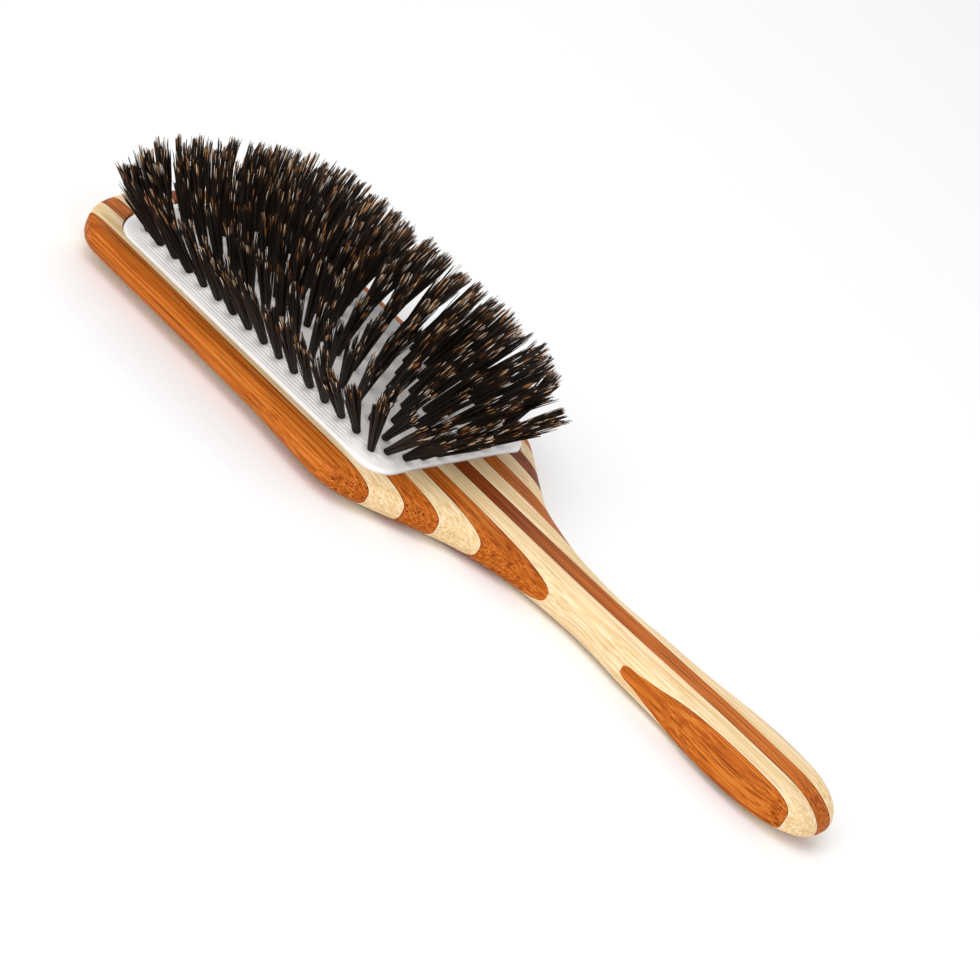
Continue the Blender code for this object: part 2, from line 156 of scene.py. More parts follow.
WIRE_WIDE = 1.6 * MM
WIRE_HIGH = 0.8 * MM
WIRE_PAST = 1.0 * MM
LEAN_TIP = 26.0              # outward lean of the outermost tufts, degrees
LEAN_NECK = 36.0
LEAN_SIDE = 43.0
LEAN_GROWTH_LONG = 1.2       # powers by which the lean grows outwards
LEAN_GROWTH_WIDE = 1.1
HALF_SPAN = 52.0 * MM        # from the pad's middle to its end rows of tufts
SIDE_FROM, SIDE_LOSS = 0.84, 0.80    # rows out from here lose this much lean to the neck
NECK_FROM, NECK_TO = 0.75, 1.00      # between these the neck's tufts lose sideways lean
NECK_LOSS = 0.60
EDGE_ROW = 26.8 * MM         # the two long outer rows
EDGE_TUFTS = 16
EDGE_START = 21.3 * MM       # their first tuft, from the tip; it stands further in
EDGE_START_OUT = 25.4 * MM
# The middle tuft and one half of the two short rows, in millimetres from the tip and
# from the middle of the width.
TIP_ROW = [(13.0, 0.0), (13.2, 6.0), (13.8, 12.0), (15.2, 17.5), (17.3, 22.3)]
NECK_ROW = [(112.9, 0.0), (112.9, 6.0), (112.9, 12.0), (112.7, 18.0), (110.6, 23.0)]
INNER_ROWS = 7
INNER_PITCH = 6.9 * MM
INNER_SHIFT = TUFT_PITCH * 2 / 3   # each inner row is set back by two thirds
INNER_MIDDLE = 66.0 * MM     # a tuft of the middle row, from the tip
INNER_REACH = 20             # more pitches than any inner row needs, each way
# Between these distances from the tip, in millimetres, the inner rows have tufts: the
# middle row first, then the rows on each side of it.
INNER_FIRST = (18.4, 17.6, 19.6, 22.0)
INNER_LAST = (109.0, 109.0, 108.8, 106.6)

PAD_MID_X = (POCKET_TIP + POCKET_NECK) / 2
PAD_HALF = POCKET_HALF - FIT


# ---------------------------------------------------------------- small helpers
def smoothstep(low, high, value):
    t = np.clip((value - low) / (high - low), 0.0, 1.0)
    return t * t * (3 - 2 * t)


def object_from(name, mesh, body, nodes=()):
    """A piece of the brush: a mesh in the row frame that rides a body."""
    ob = bpy.data.objects.new(name, mesh)
    bpy.context.scene.collection.objects.link(ob)
    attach(ob, body)
    if nodes:
        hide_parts(*nodes)
    return ob


def mesh_from(name, verts, faces):
    mesh = bpy.data.meshes.new(name)
    mesh.from_pydata(verts, [], faces)
    mesh.update()
    return mesh


# ---------------------------------------------------------------- node helpers
def new_tree(name):
    """A new material with its node tree and its Principled shader."""
    mat = bpy.data.materials.new(name)
    mat.use_nodes = True
    tree = mat.node_tree
    return mat, tree, tree.nodes["Principled BSDF"]


def add(tree, kind, inputs=None, **settings):
    """A node with its settings and inputs; an input is a value or another output."""
    node = tree.nodes.new(kind)
    for key, value in settings.items():
        setattr(node, key, value)
    for key, value in (inputs or {}).items():
        if isinstance(value, bpy.types.NodeSocket):
            tree.links.new(value, node.inputs[key])
        else:
            node.inputs[key].default_value = value
    return node


def maths(tree, operation, a, b=0.0, clamp=False):
    node = add(tree, "ShaderNodeMath", {0: a, 1: b}, operation=operation)
    node.use_clamp = clamp
    return node.outputs[0]


def span(tree, value, low, high, out_low=0.0, out_high=1.0):
    """A value mapped smoothly from one range to another and held at its ends."""
    node = add(tree, "ShaderNodeMapRange",
               {"Value": value, "From Min": low, "From Max": high,
                "To Min": out_low, "To Max": out_high},
               interpolation_type="SMOOTHSTEP", clamp=True)
    return node.outputs["Result"]


def mix(tree, factor, a, b, mode="MIX"):
    node = add(tree, "ShaderNodeMix", data_type="RGBA", blend_type=mode)
    for index, value in ((0, factor), (6, a), (7, b)):
        if isinstance(value, bpy.types.NodeSocket):
            tree.links.new(value, node.inputs[index])
        else:
            node.inputs[index].default_value = value
    return node.outputs[2]


def millimetres(tree):
    """Object coordinates in millimetres."""
    place = add(tree, "ShaderNodeTexCoord").outputs["Object"]
    return add(tree, "ShaderNodeVectorMath", {0: place, "Scale": 1 / MM},
               operation="SCALE").outputs[0]


def stretched(tree, place, scale, shift=(0.0, 0.0, 0.0)):
    return add(tree, "ShaderNodeMapping",
               {"Vector": place, "Location": shift, "Scale": scale}).outputs[0]


def noise(tree, place, detail=3.0, rough=0.55):
    return add(tree, "ShaderNodeTexNoise",
               {"Vector": place, "Scale": 1.0, "Detail": detail,
                "Roughness": rough}).outputs["Fac"]


# ---------------------------------------------------------------- bamboo
# Seam colours: a dark glue line on the brown strips; on the pale strips a lighter line that
# is a painted highlight along their glued edges.
BROWN = {"base": (0.47, 0.115, 0.012, 1), "deep": (0.27, 0.052, 0.005, 1),
         "light": (0.62, 0.19, 0.028, 1), "pore": (0.11, 0.018, 0.004, 1),
         "glue_line_and_highlight": (0.10, 0.022, 0.006, 1), "pores": 0.95, "lines": 0.62, "mottle": 0.80}
STRAW = {"base": (0.80, 0.585, 0.335, 1), "deep": (0.66, 0.43, 0.19, 1),
         "light": (0.88, 0.71, 0.47, 1), "pore": (0.55, 0.33, 0.12, 1),
         "glue_line_and_highlight": (0.88, 0.74, 0.52, 1), "pores": 0.55, "lines": 0.45, "mottle": 0.62}
STAIN = (0.46, 0.34, 0.30, 1)     # the dark strips, against the brown ones
STAIN_ENDS = (8.0, 58.0)          # where the stain starts to fade, and where it is gone


def bamboo(name, tone, low, high, seed, stained):
    """Lacquered bamboo, fibres along X: streaks on its sides, dots on its end grain."""
    mat, tree, shader = new_tree(name)
    place = millimetres(tree)
    shift = (seed * 3.7, seed * 11.3, seed * 5.9)
    broad = noise(tree, stretched(tree, place, (0.010, 0.20, 0.20), shift), 2.0)
    streak = noise(tree, stretched(tree, place, (0.020, 1.7, 1.7), shift), 4.0, 0.65)
    fibre = noise(tree, stretched(tree, place, (0.07, 6.0, 6.0), shift), 2.0)
    mottle = noise(tree, stretched(tree, place, (0.7, 3.4, 3.4), shift), 2.0)
    normal = add(tree, "ShaderNodeSeparateXYZ",
                 {0: add(tree, "ShaderNodeTexCoord").outputs["Normal"]})
    across = span(tree, maths(tree, "ABSOLUTE", normal.outputs[0]), 0.12, 0.42)

    colour = mix(tree, span(tree, streak, 0.47, 0.62), tone["base"], tone["light"])
    dark = maths(tree, "ADD", span(tree, broad, 0.50, 0.72, 0.0, 0.45),
                 span(tree, streak, 0.49, 0.38, 0.0, 0.75), clamp=True)
    colour = mix(tree, dark, colour, tone["deep"])
    colour = mix(tree, span(tree, fibre, 0.54, 0.68, 0.0, 0.46), colour, tone["deep"])
    spots = maths(tree, "MULTIPLY", span(tree, mottle, 0.48, 0.62, 0.0, tone["mottle"]),
                  across)
    colour = mix(tree, spots, colour, tone["deep"])

    # The vessels run along X: dots where the surface cuts across them, else lines.
    cells = add(tree, "ShaderNodeTexVoronoi",
                {"Vector": stretched(tree, place, (0.022, 1.25, 1.25), shift),
                 "Scale": 1.0, "Randomness": 0.9})
    vessel = span(tree, cells.outputs["Distance"], 0.29, 0.19)
    share = span(tree, across, 0.0, 1.0, tone["lines"], tone["pores"])
    vessel = maths(tree, "MULTIPLY", vessel, share)
    colour = mix(tree, vessel, colour, tone["pore"])

    # A thin line shows where the strip is glued to its neighbour: a dark glue line on the
    # brown strips, a painted highlight along the edge on the pale strips. Its distance is
    # measured over the surface, so it stays thin where the surface turns to the side.
    over = maths(tree, "SQRT", maths(tree, "SUBTRACT", 1.0, maths(
        tree, "MULTIPLY", normal.outputs[1], normal.outputs[1]), clamp=True))
    over = maths(tree, "MAXIMUM", over, 0.10)
    level = add(tree, "ShaderNodeSeparateXYZ", {0: place})
    from_low = maths(tree, "SUBTRACT", level.outputs[1], low / MM)
    from_high = maths(tree, "SUBTRACT", high / MM, level.outputs[1])
    depth = maths(tree, "DIVIDE", maths(tree, "MINIMUM", from_low, from_high), over)
    glue_line_and_highlight = span(tree, depth, 0.24, 0.10, 0.0, 0.85)
    colour = mix(tree, glue_line_and_highlight, colour, tone["glue_line_and_highlight"])
    if stained:
        fade = span(tree, level.outputs[0], *STAIN_ENDS)
        stain = mix(tree, fade, STAIN, (1, 1, 1, 1))
        colour = mix(tree, 1.0, colour, stain, "MULTIPLY")
    tree.links.new(colour, shader.inputs["Base Color"])

    rough = maths(tree, "ADD", span(tree, streak, 0.3, 0.7, 0.36, 0.48),
                  maths(tree, "MULTIPLY", vessel, 0.25))
    tree.links.new(rough, shader.inputs["Roughness"])
    relief = maths(tree, "SUBTRACT", maths(tree, "ADD", streak,
                                           maths(tree, "MULTIPLY", fibre, 0.5)), vessel)
    bump = add(tree, "ShaderNodeBump", {"Strength": 0.4, "Distance": 0.06 * MM,
                                        "Height": relief})
    tree.links.new(bump.outputs[0], shader.inputs["Normal"])
    shader.inputs["Specular IOR Level"].default_value = 0.05
    shader.inputs["Coat Weight"].default_value = 0.02
    shader.inputs["Coat Roughness"].default_value = 0.20
    return mat


# ---------------------------------------------------------------- the board
def through(points, x):
    """A smooth curve through (distance, value) points in millimetres."""
    x_mm = x / MM
    i = 0
    while i < len(points) - 2 and x_mm > points[i + 1][0]:
        i += 1

    def slope(j):
        a, b = points[max(j - 1, 0)], points[min(j + 1, len(points) - 1)]
        return (b[1] - a[1]) / (b[0] - a[0])

    (x0, v0), (x1, v1) = points[i], points[i + 1]
    h = x1 - x0
    t = min(max((x_mm - x0) / h, 0.0), 1.0)
    m0, m1 = slope(i) * h, slope(i + 1) * h
    return ((2 * t**3 - 3 * t**2 + 1) * v0 + (t**3 - 2 * t**2 + t) * m0
            + (3 * t**2 - 2 * t**3) * v1 + (t**3 - t**2) * m1)


def rounding(distance, length, fullness=2.0):
    """Share of the full size left at a distance from a rounded end."""
    u = min(max(1.0 - distance / length, 0.0), 1.0)
    return max(1.0 - u**fullness, 0.0) ** (1 / fullness)


def section(x):
    """One closed cross-section of the board; the flat cuts its back off at zero."""
    half = (through(OUTLINE, x) * MM * rounding(x, TIP_PLAN, TIP_FULLNESS)
            * rounding(LENGTH - x, END_PLAN, END_FULLNESS))
    rise = rounding(x, TIP_PROFILE) * rounding(LENGTH - x, END_PROFILE)
    mid = through(WIDEST_LINE, x) * MM
    up = (through(TOP_LINE, x) * MM - mid) * rise
    down = (mid - through(BACK_LINE, x) * MM) * rise
    power = 2 / through(SQUARENESS, x)
    ring = []
    for k in range(RING_POINTS):
        a = 2 * math.pi * k / RING_POINTS
        c, s = math.cos(a), math.sin(a)
        y = half * math.copysign(abs(c) ** power, c)
        z = (up if s > 0 else down) * math.copysign(abs(s) ** power, s)
        ring.append((x - MIDDLE, y, max(mid + z, 0.0)))
    return ring


def stations():
    """Distances from the tip at which the board has a cross-section."""
    quarter = math.pi / 2
    bend = [1 - math.cos(quarter * k / END_STATIONS) for k in range(1, END_STATIONS + 1)]
    body = (LENGTH - TIP_PLAN - END_PLAN) / (BODY_STATIONS + 1)
    return ([TIP_PLAN * b for b in bend]
            + [TIP_PLAN + body * k for k in range(1, BODY_STATIONS + 1)]
            + [LENGTH - END_PLAN * b for b in reversed(bend)])


def board_mesh():
    """The whole board as one skin, before it is parted into strips."""
    places = stations()
    verts = [p for x in places for p in section(x)]
    faces = []
    n = RING_POINTS
    for r in range(len(places) - 1):
        for k in range(n):
            a, b = r * n + k, r * n + (k + 1) % n
            faces.append((a, b, b + n, a + n))
    for ring, x in ((0, 0.0), (len(places) - 1, LENGTH)):
        pole = len(verts)
        verts.append((x - MIDDLE, 0.0, through(WIDEST_LINE, x) * MM))
        for k in range(n):
            faces.append((ring * n + k, ring * n + (k + 1) % n, pole))
    return mesh_from("board", verts, faces)


def slice_board(board, low, high):
    """The part of the board between two upright planes along its length."""
    bm = bmesh.new()
    bm.from_mesh(board)
    for y, normal in ((low, (0, -1, 0)), (high, (0, 1, 0))):
        geom = bm.verts[:] + bm.edges[:] + bm.faces[:]
        bmesh.ops.bisect_plane(bm, geom=geom, plane_co=(0, y, 0), plane_no=normal,
                               clear_outer=True, dist=1e-7)
        rim = [e for e in bm.edges if len(e.link_faces) == 1]
        if rim:
            bmesh.ops.holes_fill(bm, edges=rim, sides=0)
    bmesh.ops.remove_doubles(bm, verts=bm.verts, dist=WELD)
    bmesh.ops.recalc_face_normals(bm, faces=bm.faces)
    return bm


def islands(bm):
    """The separate pieces of a mesh, from the one nearest the tip of the head."""
    seen, found = set(), []
    for v in bm.verts:
        if v in seen:
            continue
        stack, island = [v], []
        seen.add(v)
        while stack:
            u = stack.pop()
            island.append(u)
            for e in u.link_edges:
                w = e.other_vert(u)
                if w not in seen:
                    seen.add(w)
                    stack.append(w)
        found.append(island)
    return sorted(found, key=lambda isl: sum(v.co.x for v in isl) / len(isl))


def keep_only(bm, island):
    keep = set(island)
    bmesh.ops.delete(bm, geom=[v for v in bm.verts if v not in keep], context="VERTS")


def mark_glued_edges(mesh, low, high):
    """Keep a hard edge where a glued side face meets the worked surface."""
    bm = bmesh.new()
    bm.from_mesh(mesh)
    on = {f: any(all(abs(v.co.y - y) < WELD for v in f.verts) for y in (low, high))
          for f in bm.faces}
    for f in bm.faces:
        f.smooth = True
    for e in bm.edges:
        pair = e.link_faces
        turned = (len(pair) == 2 and pair[0].normal.angle(pair[1].normal, 0)
                  > math.radians(HARD_EDGE))
        e.smooth = not (len(pair) != 2 or on[pair[0]] != on[pair[1]] or turned)
    bm.to_mesh(mesh)
    bm.free()


# ---------------------------------------------------------------- the pocket
def opening():
    """Outline of the pocket's mouth, clockwise from the far side of the tip."""
    pts = []
    for k in range(TIP_ARC_STEPS + 1):
        a = math.pi / 2 + math.pi * k / TIP_ARC_STEPS
        pts.append((POCKET_TIP + POCKET_TIP_ARC + POCKET_TIP_ARC * math.cos(a),
                    POCKET_HALF * math.sin(a)))
    side = [v * MM for v in range(28, 107, 6)]
    corner = POCKET_NECK - POCKET_CORNER
    inner = POCKET_HALF - POCKET_CORNER
    pts += [(x, -POCKET_HALF) for x in side]
    for k in range(CORNER_STEPS + 1):
        a = -math.pi / 2 + math.pi / 2 * k / CORNER_STEPS
        pts.append((corner + POCKET_CORNER * math.cos(a),
                    -inner + POCKET_CORNER * math.sin(a)))
    pts += [(POCKET_NECK, y * MM) for y in range(-18, 19, 6)]
    for k in range(CORNER_STEPS + 1):
        a = math.pi / 2 * k / CORNER_STEPS
        pts.append((corner + POCKET_CORNER * math.cos(a),
                    inner + POCKET_CORNER * math.sin(a)))
    pts += [(x, POCKET_HALF) for x in reversed(side)]
    return pts


def offset(loop, distance):
    """Move a closed outline outwards by a distance."""
    out = []
    n = len(loop)
    for k in range(n):
        a, b, c = Vector(loop[k - 1]), Vector(loop[k]), Vector(loop[(k + 1) % n])
        e, f = (b - a).normalized(), (c - b).normalized()
        m = (Vector((e.y, -e.x)) + Vector((f.y, -f.x))).normalized()
        cosine = max(m.dot(Vector((e.y, -e.x))), 0.5)
        out.append(tuple(b + m * (distance / cosine)))
    return out


def pocket_cutter():
    """The hollow routed for the pad, with its groove and its softened lip."""
    mouth = opening()
    layers = [(0.0, POCKET_FLOOR), (0.0, GROOVE_LOW), (GROOVE_DEEP, GROOVE_LOW),
              (GROOVE_DEEP, GROOVE_HIGH), (0.0, GROOVE_HIGH), (0.0, THICK - 0.62 * MM),
              (0.10 * MM, THICK - 0.34 * MM), (0.34 * MM, THICK - 0.12 * MM),
              (0.80 * MM, THICK + 0.10 * MM), (0.80 * MM, ABOVE)]
    verts, faces = [], []
    n = len(mouth)
    for out, z in layers:
        verts += [(x - MIDDLE, y, z) for x, y in offset(mouth, out)]
    for r in range(len(layers) - 1):
        for k in range(n):
            a, b = r * n + k, r * n + (k + 1) % n
            faces.append((a, b, b + n, a + n))
    faces.append(tuple(range(n)))
    faces.append(tuple(range(len(verts) - n, len(verts))))
    mesh = mesh_from("cut_pocket", verts, faces)
    bm = bmesh.new()
    bm.from_mesh(mesh)
    bmesh.ops.recalc_face_normals(bm, faces=bm.faces)
    bm.to_mesh(mesh)
    bm.free()
    ob = bpy.data.objects.new("cut_pocket", mesh)
    bpy.context.scene.collection.objects.link(ob)
    return ob


def carved(bm, name, cutter):
    """The strip's mesh with the pocket taken out of it."""
    mesh = bpy.data.meshes.new(name)
    bm.to_mesh(mesh)
    bm.free()
    if cutter is None:
        return mesh
    ob = bpy.data.objects.new(name + "_blank", mesh)
    bpy.context.scene.collection.objects.link(ob)
    mod = ob.modifiers.new("pocket", "BOOLEAN")
    mod.operation = "DIFFERENCE"
    mod.solver = "EXACT"
    mod.object = cutter
    graph = bpy.context.evaluated_depsgraph_get()
    cut = bpy.data.meshes.new_from_object(ob.evaluated_get(graph), depsgraph=graph)
    cut.name = name
    bpy.data.objects.remove(ob)
    return cut


def make_wood():
    board = board_mesh()
    cutter = pocket_cutter()
    for k in range(STRIPS):
        glued_low = (k - STRIPS / 2) * STRIP_WIDTH
        glued_high = glued_low + STRIP_WIDTH
        low = glued_low + GLUE_LINE / 2 if k else -BEYOND
        high = glued_high - GLUE_LINE / 2 if k < STRIPS - 1 else BEYOND
        stained = k in STAINED
        tone, slot = (STRAW, "pale_bamboo") if k % 2 else (BROWN, "brown_bamboo")
        if stained:
            slot = "dark_bamboo"
        mat = bamboo(f"bamboo_{k + 1:02d}", tone,
                     glued_low if k else -BEYOND,
                     glued_high if k < STRIPS - 1 else BEYOND, k + 1, stained)
        bm = slice_board(board, low, high)
        count = len(islands(bm))
        for part in range(count):
            if part:
                bm = slice_board(board, low, high)
            keep_only(bm, islands(bm)[part])
            end = "_grip" if part else ""
            hollow = cutter if not part and 0 < k < STRIPS - 1 else None
            mesh = carved(bm, f"wood_strip_{k + 1:02d}{end}", hollow)
            mark_glued_edges(mesh, low, high)
            mesh.materials.clear()
            mesh.materials.append(mat)
            object_from(mesh.name, mesh, "handle",
                        [f"bamboo_strip_{k + 1:02d}{end}"])
    bpy.data.objects.remove(cutter)


# ---------------------------------------------------------------- the pad's shape
def tip_edge(y):
    """Distance from the tip of the pad's edge at the tip end, along a line of y."""
    v = np.clip(np.abs(y) / PAD_HALF, 0.0, 1.0)
    return POCKET_TIP + FIT + (POCKET_TIP_ARC - FIT) * (1 - np.sqrt(1 - v * v))


def neck_edge(y):
    """The same at the neck end."""
    corner = POCKET_CORNER - FIT
    over = np.clip(np.abs(y) - (PAD_HALF - corner), 0.0, corner)
    return POCKET_NECK - FIT - (corner - np.sqrt(corner**2 - over**2))


def share_at(x, y):
    """How far out points lie: 0 at the pad's middle, 1 at its edge."""
    x, y = np.asarray(x, float), np.asarray(y, float)
    low, high = np.full(x.shape, 1e-6), np.ones(x.shape)
    for _ in range(34):
        t = (low + high) / 2
        px, py = PAD_MID_X + (x - PAD_MID_X) / t, y / t
        inside = ((np.abs(py) <= PAD_HALF) & (px >= tip_edge(py)) & (px <= neck_edge(py)))
        high = np.where(inside, t, high)
        low = np.where(inside, low, t)
    return high


def dome(x, y):
    return RIM + CROWN * (1 - share_at(x, y) ** DOME_POWER)


# ---------------------------------------------------------------- where tufts stand
def full_row(half_row):
    """A row across the brush, in metres, from its middle tuft and one half of it."""
    near = [(x * MM, -y * MM) for x, y in reversed(half_row[1:])]
    return near + [(x * MM, y * MM) for x, y in half_row]


def tuft_rows():
    """Names and hole positions, from the tip, of every row of tufts."""
    edge = [(EDGE_START + TUFT_PITCH * k, EDGE_ROW if k else EDGE_START_OUT)
            for k in range(EDGE_TUFTS)]
    rows = [("tufts_near_edge", [(x, -y) for x, y in edge]),
            ("tufts_far_edge", edge), ("tufts_tip_edge", full_row(TIP_ROW)),
            ("tufts_neck_edge", full_row(NECK_ROW))]
    for k in range(INNER_ROWS):
        r = k - INNER_ROWS // 2
        low, high = INNER_FIRST[abs(r)] * MM, INNER_LAST[abs(r)] * MM
        xs = [INNER_MIDDLE - INNER_SHIFT * r + TUFT_PITCH * j
              for j in range(-INNER_REACH, INNER_REACH + 1)]
        rows.append((f"tufts_inner_{k + 1}",
                     [(x, INNER_PITCH * r) for x in xs if low <= x <= high]))
    return rows


def tuft_axis(x, y):
    """Foot of a tuft on the pad and the way it leans: outwards, but less in the corners
    at the neck, where the tufts stand up straighter."""
    foot = Vector((x - MIDDLE, y, float(dome(x, y))))
    u = (x - PAD_MID_X) / HALF_SPAN
    v = y / EDGE_ROW
    lean_x = math.radians(LEAN_NECK if u > 0 else LEAN_TIP) * math.copysign(
        abs(u) ** LEAN_GROWTH_LONG, u)
    lean_y = math.radians(LEAN_SIDE) * math.copysign(
        abs(v) ** LEAN_GROWTH_WIDE, v)
    if u > 0:
        lean_x *= 1 - SIDE_LOSS * smoothstep(SIDE_FROM, 1.0, abs(v))
        lean_y *= 1 - NECK_LOSS * smoothstep(NECK_FROM, NECK_TO, u)
    return foot, Vector((math.tan(lean_x), math.tan(lean_y), 1.0)).normalized()


def tuft_length(x):
    """Length of a tuft: the ones near the tip and near the neck are trimmed shorter."""
    u = (x - PAD_MID_X) / HALF_SPAN
    trim = smoothstep(TRIM_FROM, TRIM_TO, abs(u))
    return TUFT_LENGTH * (1 - trim * (SHORTER_NECK if u > 0 else SHORTER_TIP))


# ---------------------------------------------------------------- the pad
def rubber():
    """Off-white moulded rubber, matt, with painted shade in the grooves between its ribs."""
    mat, tree, shader = new_tree("pad_rubber")
    place = millimetres(tree)
    cloud = noise(tree, stretched(tree, place, (0.07, 0.07, 0.07)), 3.0)
    grain = noise(tree, stretched(tree, place, (2.6, 2.6, 2.6)), 2.0)
    colour = mix(tree, span(tree, cloud, 0.35, 0.65), (0.90, 0.865, 0.85, 1),
                 (0.95, 0.925, 0.91, 1))
    level = add(tree, "ShaderNodeSeparateXYZ", {0: place})
    wave = maths(tree, "COSINE", maths(tree, "MULTIPLY", level.outputs[1],
                                       2 * math.pi * MM / RIB_PITCH))
    start, stop = ((x - MIDDLE) / MM for x in (RIBS_FROM, RIBS_TO))
    ribbed = maths(tree, "MULTIPLY", span(tree, level.outputs[0], start, start + 8),
                   span(tree, level.outputs[0], stop, stop - 8))
    # Painted shade: the grooves between the ribs are darkened in the colour, on top of the
    # ribs' own relief.
    painted_groove_shade = maths(tree, "MULTIPLY", span(tree, wave, -0.2, -1.0, 0.0, 0.55), ribbed)
    colour = mix(tree, painted_groove_shade, colour, (0.40, 0.355, 0.34, 1))
    specks = add(tree, "ShaderNodeTexVoronoi",
                 {"Vector": stretched(tree, place, (0.33, 0.33, 0.33)), "Scale": 1.0})
    speck = span(tree, specks.outputs["Distance"], 0.055, 0.025, 0.0, 0.5)
    colour = mix(tree, speck, colour, (0.42, 0.36, 0.33, 1))
    tree.links.new(colour, shader.inputs["Base Color"])
    tree.links.new(span(tree, grain, 0.3, 0.7, 0.50, 0.66), shader.inputs["Roughness"])
    bump = add(tree, "ShaderNodeBump", {"Strength": 0.25, "Distance": 0.03 * MM,
                                        "Height": grain})
    tree.links.new(bump.outputs[0], shader.inputs["Normal"])
    shader.inputs["Specular IOR Level"].default_value = 0.35
    return mat


def pad_relief(x, y, rows):
    """Height of the pad's ribs and of the puckers its tufts pull in it."""
    ribbed = (smoothstep(RIBS_FROM, RIBS_FROM + 8 * MM, x)
              * (1 - smoothstep(RIBS_TO - 8 * MM, RIBS_TO, x)))
    relief = RIB_HIGH * ribbed * np.cos(2 * np.pi * y / RIB_PITCH)
    calm = np.ones_like(x)
    pucker = np.zeros_like(x)
    for _, row in rows:
        for k, (tx, ty) in enumerate(row):
            dx, dy = x - tx, y - ty
            r = np.hypot(dx, dy)
            near = r < PUCKER_REACH
            dx, dy, r = dx[near], dy[near], r[near]
            turn = np.arctan2(dy, dx)
            folds = (np.cos(turn * FOLDS + k * 1.9)
                     * np.exp(-((r - 2.1 * MM) / (0.8 * MM))**2))
            pucker[near] += (-PUCKER_DEEP * np.exp(-(r / (1.5 * MM))**2)
                             + PUCKER_LIP * np.exp(-((r - 2.4 * MM) / (0.7 * MM))**2)
                             + PUCKER_FOLD * folds)
            calm[near] *= 1 - 0.8 * np.exp(-(r / (2.3 * MM))**2)
    return relief * calm + pucker


def pad_mesh(rows):
    """The moulded pad: ribbed dome, rolled edge, skirt with its bead, and underside."""
    ys = np.concatenate([np.linspace(-PAD_HALF, PAD_HALF, 361),
                         [-PAD_HALF + d * MM for d in (0.015, 0.06, 0.11)],
                         [PAD_HALF - d * MM for d in (0.015, 0.06, 0.11)]])
    ys = np.sort(ys)
    inner = np.linspace(0.012, 0.988, 168)
    ends = np.array([0.0, 0.0008, 0.0022, 0.0045, 0.008])
    ss = np.concatenate([ends, inner, 1 - ends[::-1]])
    y, s = np.meshgrid(ys, ss, indexing="ij")
    x = tip_edge(y) * (1 - s) + neck_edge(y) * s
    z = dome(x, y)
    edge = share_at(x, y)
    reach = np.hypot(x - PAD_MID_X, y) / np.maximum(edge, 1e-6) * (1 - edge)
    z += pad_relief(x, y, rows) * smoothstep(0.0, 1.6 * MM, reach)
    near = np.clip(EDGE_ROLL - reach, 0.0, EDGE_ROLL)
    z -= EDGE_ROLL - np.sqrt(EDGE_ROLL**2 - near**2)
    rows_n, cols = x.shape
    verts = [tuple(v) for v in np.stack([x - MIDDLE, y, z], -1).reshape(-1, 3).tolist()]
    faces = []
    for i in range(rows_n - 1):
        for j in range(cols - 1):
            a = i * cols + j
            faces.append((a, a + 1, a + cols + 1, a + cols))

    # The grid's border in order, then the skirt and the underside ring by ring.
    border = ([i * cols for i in range(rows_n - 1, 0, -1)] + list(range(cols - 1))
              + [i * cols + cols - 1 for i in range(rows_n - 1)]
              + [(rows_n - 1) * cols + j for j in range(cols - 1, 0, -1)])
    edge_loop = [(verts[i][0] + MIDDLE, verts[i][1]) for i in border]
    bead = GROOVE_DEEP - FIT

    def shrunk(loop, share):
        return [(PAD_MID_X + (px - PAD_MID_X) * share, py * share) for px, py in loop]

    def grown(loop, distance):
        """Moved outwards from the pad's middle lines, which suits a thin bead."""
        wide, long = 1 + distance / PAD_HALF, 1 + distance / (PAD_MID_X - POCKET_TIP)
        return [(PAD_MID_X + (px - PAD_MID_X) * long, py * wide) for px, py in loop]

    loops = [(edge_loop, RIM - 1.6 * MM), (edge_loop, BEAD_HIGH),
             (grown(edge_loop, bead * 0.8), BEAD_HIGH - 0.15 * MM),
             (grown(edge_loop, bead), (BEAD_HIGH + BEAD_LOW) / 2),
             (grown(edge_loop, bead * 0.8), BEAD_LOW + 0.15 * MM),
             (grown(edge_loop, 0.0), BEAD_LOW), (grown(edge_loop, -1.5 * MM), BEAD_LOW),
             (grown(edge_loop, -1.5 * MM), RIM - PAD_THICK)]
    for share in (0.93, 0.84, 0.7, 0.5, 0.25):
        loops.append((shrunk(edge_loop, share),
                      RIM + CROWN * (1 - share**DOME_POWER) - PAD_THICK))
    previous = border
    for loop, height in loops:
        start = len(verts)
        verts += [(px - MIDDLE, py, height) for px, py in loop]
        current = list(range(start, len(verts)))
        n = len(current)
        for k in range(n):
            m = (k + 1) % n
            faces.append((previous[k], previous[m], current[m], current[k]))
        previous = current
    pole = len(verts)
    verts.append((PAD_MID_X - MIDDLE, 0.0, RIM + CROWN - PAD_THICK))
    for k in range(len(previous)):
        faces.append((previous[k], previous[(k + 1) % len(previous)], pole))
    mesh = mesh_from("cushion", verts, faces)
    bm = bmesh.new()
    bm.from_mesh(mesh)
    bmesh.ops.recalc_face_normals(bm, faces=bm.faces)
    bm.to_mesh(mesh)
    bm.free()
    mesh.shade_smooth()
    mesh.set_sharp_from_angle(angle=math.radians(60))
    return mesh


def make_pad(rows):
    mesh = pad_mesh(rows)
    mesh.materials.append(rubber())
    ob = bpy.data.objects.new("cushion", mesh)
    bpy.context.scene.collection.objects.link(ob)
    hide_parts("cushion_pad")
    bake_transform(ob)
    return ob


